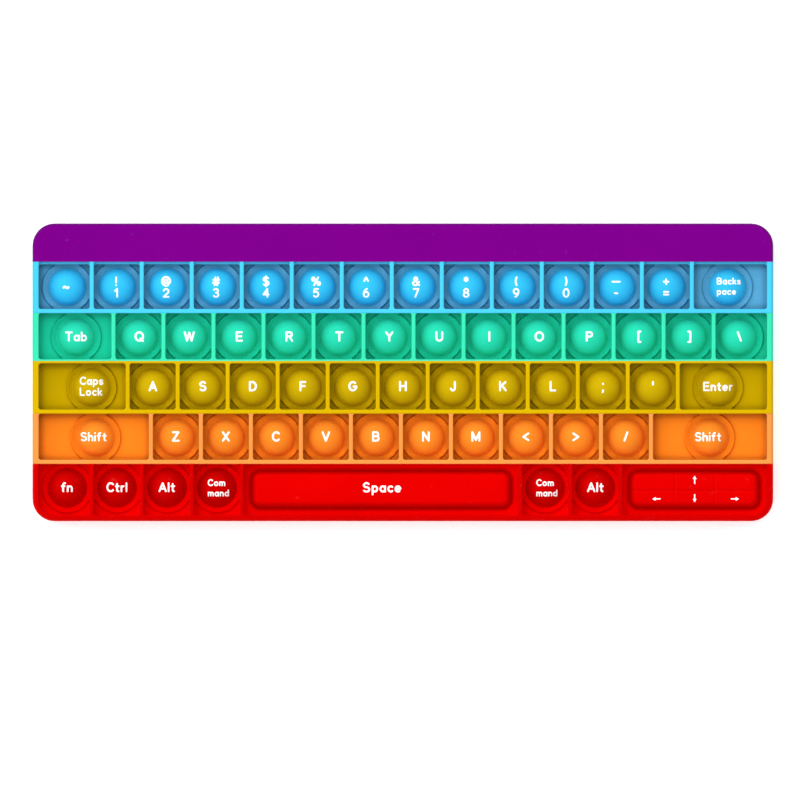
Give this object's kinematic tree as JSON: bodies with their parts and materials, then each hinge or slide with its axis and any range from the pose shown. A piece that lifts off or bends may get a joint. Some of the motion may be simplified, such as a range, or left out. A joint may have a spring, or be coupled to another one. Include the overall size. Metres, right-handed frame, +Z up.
{
  "type": "push-bubble keyboard toy",
  "caption": "Silicone push-bubble fidget toy in the form of a compact computer keyboard: six coloured bands of key cells with domes and pads that pop through the sheet.",
  "frame": {"origin": "centre of the sheet's footprint, on the face it lies on", "axes": "+X to the right along the key rows, +Y to the back strip, +Z up out of the key side"},
  "size_m": [0.3, 0.1206, 0.015],
  "materials": {
    "violet_silicone": "satin",
    "blue_silicone": "satin",
    "green_silicone": "satin",
    "yellow_silicone": "satin",
    "orange_silicone": "satin",
    "red_silicone": "satin"
  },
  "bodies": {
    "sheet": {"violet_band": "violet_silicone", "blue_band": "blue_silicone", "green_band": "green_silicone", "yellow_band": "yellow_silicone", "orange_band": "orange_silicone", "red_band": "red_silicone"},
    "space_key": {"space_pad": "red_silicone"},
    "arrow_key": {"arrow_pad": "red_silicone"},
    "backspace_key": {"backspace_bubble": "blue_silicone"},
    "tab_key": {"tab_bubble": "green_silicone"},
    "caps_lock_key": {"caps_lock_bubble": "yellow_silicone"},
    "enter_key": {"enter_bubble": "yellow_silicone"},
    "shift_left_key": {"shift_left_bubble": "orange_silicone"},
    "shift_right_key": {"shift_right_bubble": "orange_silicone"},
    "tilde_key": {"tilde_bubble": "blue_silicone"},
    "backslash_key": {"backslash_bubble": "green_silicone"},
    "slash_key": {"slash_bubble": "orange_silicone"},
    "fn_ctrl_keys": {"fn_ctrl_bubbles": "red_silicone"},
    "alt_command_left_keys": {"alt_command_left_bubbles": "red_silicone"},
    "command_alt_right_keys": {"command_alt_right_bubbles": "red_silicone"},
    "minus_plus_keys": {"minus_plus_bubbles": "blue_silicone"},
    "bracket_keys": {"bracket_bubbles": "green_silicone"},
    "semicolon_quote_keys": {"semicolon_quote_bubbles": "yellow_silicone"},
    "comma_period_keys": {"comma_period_bubbles": "orange_silicone"},
    "digit_1_key": {"digit_1_bubble": "blue_silicone"},
    "digit_2_key": {"digit_2_bubble": "blue_silicone"},
    "digit_3_key": {"digit_3_bubble": "blue_silicone"},
    "digit_4_key": {"digit_4_bubble": "blue_silicone"},
    "digit_5_key": {"digit_5_bubble": "blue_silicone"},
    "digit_6_key": {"digit_6_bubble": "blue_silicone"},
    "digit_7_key": {"digit_7_bubble": "blue_silicone"},
    "digit_8_key": {"digit_8_bubble": "blue_silicone"},
    "digit_9_key": {"digit_9_bubble": "blue_silicone"},
    "digit_0_key": {"digit_0_bubble": "blue_silicone"},
    "q_key": {"q_bubble": "green_silicone"},
    "w_key": {"w_bubble": "green_silicone"},
    "e_key": {"e_bubble": "green_silicone"},
    "r_key": {"r_bubble": "green_silicone"},
    "t_key": {"t_bubble": "green_silicone"},
    "y_key": {"y_bubble": "green_silicone"},
    "u_key": {"u_bubble": "green_silicone"},
    "i_key": {"i_bubble": "green_silicone"},
    "o_key": {"o_bubble": "green_silicone"},
    "p_key": {"p_bubble": "green_silicone"},
    "a_key": {"a_bubble": "yellow_silicone"},
    "s_key": {"s_bubble": "yellow_silicone"},
    "d_key": {"d_bubble": "yellow_silicone"},
    "f_key": {"f_bubble": "yellow_silicone"},
    "g_key": {"g_bubble": "yellow_silicone"},
    "h_key": {"h_bubble": "yellow_silicone"},
    "j_key": {"j_bubble": "yellow_silicone"},
    "k_key": {"k_bubble": "yellow_silicone"},
    "l_key": {"l_bubble": "yellow_silicone"},
    "z_key": {"z_bubble": "orange_silicone"},
    "x_key": {"x_bubble": "orange_silicone"},
    "c_key": {"c_bubble": "orange_silicone"},
    "v_key": {"v_bubble": "orange_silicone"},
    "b_key": {"b_bubble": "orange_silicone"},
    "n_key": {"n_bubble": "orange_silicone"},
    "m_key": {"m_bubble": "orange_silicone"}
  },
  "joints": [
    {"name": "space_key_press", "type": "slide", "parent": "sheet", "child": "space_key", "axis": [0, 0, 1], "range_m": [-0.0106, 0]},
    {"name": "arrow_key_press", "type": "slide", "parent": "sheet", "child": "arrow_key", "axis": [0, 0, 1], "range_m": [-0.0106, 0]},
    {"name": "backspace_key_press", "type": "slide", "parent": "sheet", "child": "backspace_key", "axis": [0, 0, 1], "range_m": [-0.0106, 0]},
    {"name": "tab_key_press", "type": "slide", "parent": "sheet", "child": "tab_key", "axis": [0, 0, 1], "range_m": [-0.0106, 0]},
    {"name": "caps_lock_key_press", "type": "slide", "parent": "sheet", "child": "caps_lock_key", "axis": [0, 0, 1], "range_m": [-0.0106, 0]},
    {"name": "enter_key_press", "type": "slide", "parent": "sheet", "child": "enter_key", "axis": [0, 0, 1], "range_m": [-0.0106, 0]},
    {"name": "shift_left_key_press", "type": "slide", "parent": "sheet", "child": "shift_left_key", "axis": [0, 0, 1], "range_m": [-0.0106, 0]},
    {"name": "shift_right_key_press", "type": "slide", "parent": "sheet", "child": "shift_right_key", "axis": [0, 0, 1], "range_m": [-0.0106, 0]},
    {"name": "tilde_key_press", "type": "slide", "parent": "sheet", "child": "tilde_key", "axis": [0, 0, 1], "range_m": [-0.0106, 0]},
    {"name": "backslash_key_press", "type": "slide", "parent": "sheet", "child": "backslash_key", "axis": [0, 0, 1], "range_m": [-0.0106, 0]},
    {"name": "slash_key_press", "type": "slide", "parent": "sheet", "child": "slash_key", "axis": [0, 0, 1], "range_m": [-0.0106, 0]},
    {"name": "fn_ctrl_keys_press", "type": "slide", "parent": "sheet", "child": "fn_ctrl_keys", "axis": [0, 0, 1], "range_m": [-0.0106, 0]},
    {"name": "alt_command_left_keys_press", "type": "slide", "parent": "sheet", "child": "alt_command_left_keys", "axis": [0, 0, 1], "range_m": [-0.0106, 0]},
    {"name": "command_alt_right_keys_press", "type": "slide", "parent": "sheet", "child": "command_alt_right_keys", "axis": [0, 0, 1], "range_m": [-0.0106, 0]},
    {"name": "minus_plus_keys_press", "type": "slide", "parent": "sheet", "child": "minus_plus_keys", "axis": [0, 0, 1], "range_m": [-0.0106, 0]},
    {"name": "bracket_keys_press", "type": "slide", "parent": "sheet", "child": "bracket_keys", "axis": [0, 0, 1], "range_m": [-0.0106, 0]},
    {"name": "semicolon_quote_keys_press", "type": "slide", "parent": "sheet", "child": "semicolon_quote_keys", "axis": [0, 0, 1], "range_m": [-0.0106, 0]},
    {"name": "comma_period_keys_press", "type": "slide", "parent": "sheet", "child": "comma_period_keys", "axis": [0, 0, 1], "range_m": [-0.0106, 0]},
    {"name": "digit_1_key_press", "type": "slide", "parent": "sheet", "child": "digit_1_key", "axis": [0, 0, 1], "range_m": [-0.0106, 0]},
    {"name": "digit_2_key_press", "type": "slide", "parent": "sheet", "child": "digit_2_key", "axis": [0, 0, 1], "range_m": [-0.0106, 0]},
    {"name": "digit_3_key_press", "type": "slide", "parent": "sheet", "child": "digit_3_key", "axis": [0, 0, 1], "range_m": [-0.0106, 0]},
    {"name": "digit_4_key_press", "type": "slide", "parent": "sheet", "child": "digit_4_key", "axis": [0, 0, 1], "range_m": [-0.0106, 0]},
    {"name": "digit_5_key_press", "type": "slide", "parent": "sheet", "child": "digit_5_key", "axis": [0, 0, 1], "range_m": [-0.0106, 0]},
    {"name": "digit_6_key_press", "type": "slide", "parent": "sheet", "child": "digit_6_key", "axis": [0, 0, 1], "range_m": [-0.0106, 0]},
    {"name": "digit_7_key_press", "type": "slide", "parent": "sheet", "child": "digit_7_key", "axis": [0, 0, 1], "range_m": [-0.0106, 0]},
    {"name": "digit_8_key_press", "type": "slide", "parent": "sheet", "child": "digit_8_key", "axis": [0, 0, 1], "range_m": [-0.0106, 0]},
    {"name": "digit_9_key_press", "type": "slide", "parent": "sheet", "child": "digit_9_key", "axis": [0, 0, 1], "range_m": [-0.0106, 0]},
    {"name": "digit_0_key_press", "type": "slide", "parent": "sheet", "child": "digit_0_key", "axis": [0, 0, 1], "range_m": [-0.0106, 0]},
    {"name": "q_key_press", "type": "slide", "parent": "sheet", "child": "q_key", "axis": [0, 0, 1], "range_m": [-0.0106, 0]},
    {"name": "w_key_press", "type": "slide", "parent": "sheet", "child": "w_key", "axis": [0, 0, 1], "range_m": [-0.0106, 0]},
    {"name": "e_key_press", "type": "slide", "parent": "sheet", "child": "e_key", "axis": [0, 0, 1], "range_m": [-0.0106, 0]},
    {"name": "r_key_press", "type": "slide", "parent": "sheet", "child": "r_key", "axis": [0, 0, 1], "range_m": [-0.0106, 0]},
    {"name": "t_key_press", "type": "slide", "parent": "sheet", "child": "t_key", "axis": [0, 0, 1], "range_m": [-0.0106, 0]},
    {"name": "y_key_press", "type": "slide", "parent": "sheet", "child": "y_key", "axis": [0, 0, 1], "range_m": [-0.0106, 0]},
    {"name": "u_key_press", "type": "slide", "parent": "sheet", "child": "u_key", "axis": [0, 0, 1], "range_m": [-0.0106, 0]},
    {"name": "i_key_press", "type": "slide", "parent": "sheet", "child": "i_key", "axis": [0, 0, 1], "range_m": [-0.0106, 0]},
    {"name": "o_key_press", "type": "slide", "parent": "sheet", "child": "o_key", "axis": [0, 0, 1], "range_m": [-0.0106, 0]},
    {"name": "p_key_press", "type": "slide", "parent": "sheet", "child": "p_key", "axis": [0, 0, 1], "range_m": [-0.0106, 0]},
    {"name": "a_key_press", "type": "slide", "parent": "sheet", "child": "a_key", "axis": [0, 0, 1], "range_m": [-0.0106, 0]},
    {"name": "s_key_press", "type": "slide", "parent": "sheet", "child": "s_key", "axis": [0, 0, 1], "range_m": [-0.0106, 0]},
    {"name": "d_key_press", "type": "slide", "parent": "sheet", "child": "d_key", "axis": [0, 0, 1], "range_m": [-0.0106, 0]},
    {"name": "f_key_press", "type": "slide", "parent": "sheet", "child": "f_key", "axis": [0, 0, 1], "range_m": [-0.0106, 0]},
    {"name": "g_key_press", "type": "slide", "parent": "sheet", "child": "g_key", "axis": [0, 0, 1], "range_m": [-0.0106, 0]},
    {"name": "h_key_press", "type": "slide", "parent": "sheet", "child": "h_key", "axis": [0, 0, 1], "range_m": [-0.0106, 0]},
    {"name": "j_key_press", "type": "slide", "parent": "sheet", "child": "j_key", "axis": [0, 0, 1], "range_m": [-0.0106, 0]},
    {"name": "k_key_press", "type": "slide", "parent": "sheet", "child": "k_key", "axis": [0, 0, 1], "range_m": [-0.0106, 0]},
    {"name": "l_key_press", "type": "slide", "parent": "sheet", "child": "l_key", "axis": [0, 0, 1], "range_m": [-0.0106, 0]},
    {"name": "z_key_press", "type": "slide", "parent": "sheet", "child": "z_key", "axis": [0, 0, 1], "range_m": [-0.0106, 0]},
    {"name": "x_key_press", "type": "slide", "parent": "sheet", "child": "x_key", "axis": [0, 0, 1], "range_m": [-0.0106, 0]},
    {"name": "c_key_press", "type": "slide", "parent": "sheet", "child": "c_key", "axis": [0, 0, 1], "range_m": [-0.0106, 0]},
    {"name": "v_key_press", "type": "slide", "parent": "sheet", "child": "v_key", "axis": [0, 0, 1], "range_m": [-0.0106, 0]},
    {"name": "b_key_press", "type": "slide", "parent": "sheet", "child": "b_key", "axis": [0, 0, 1], "range_m": [-0.0106, 0]},
    {"name": "n_key_press", "type": "slide", "parent": "sheet", "child": "n_key", "axis": [0, 0, 1], "range_m": [-0.0106, 0]},
    {"name": "m_key_press", "type": "slide", "parent": "sheet", "child": "m_key", "axis": [0, 0, 1], "range_m": [-0.0106, 0]}
  ]
}
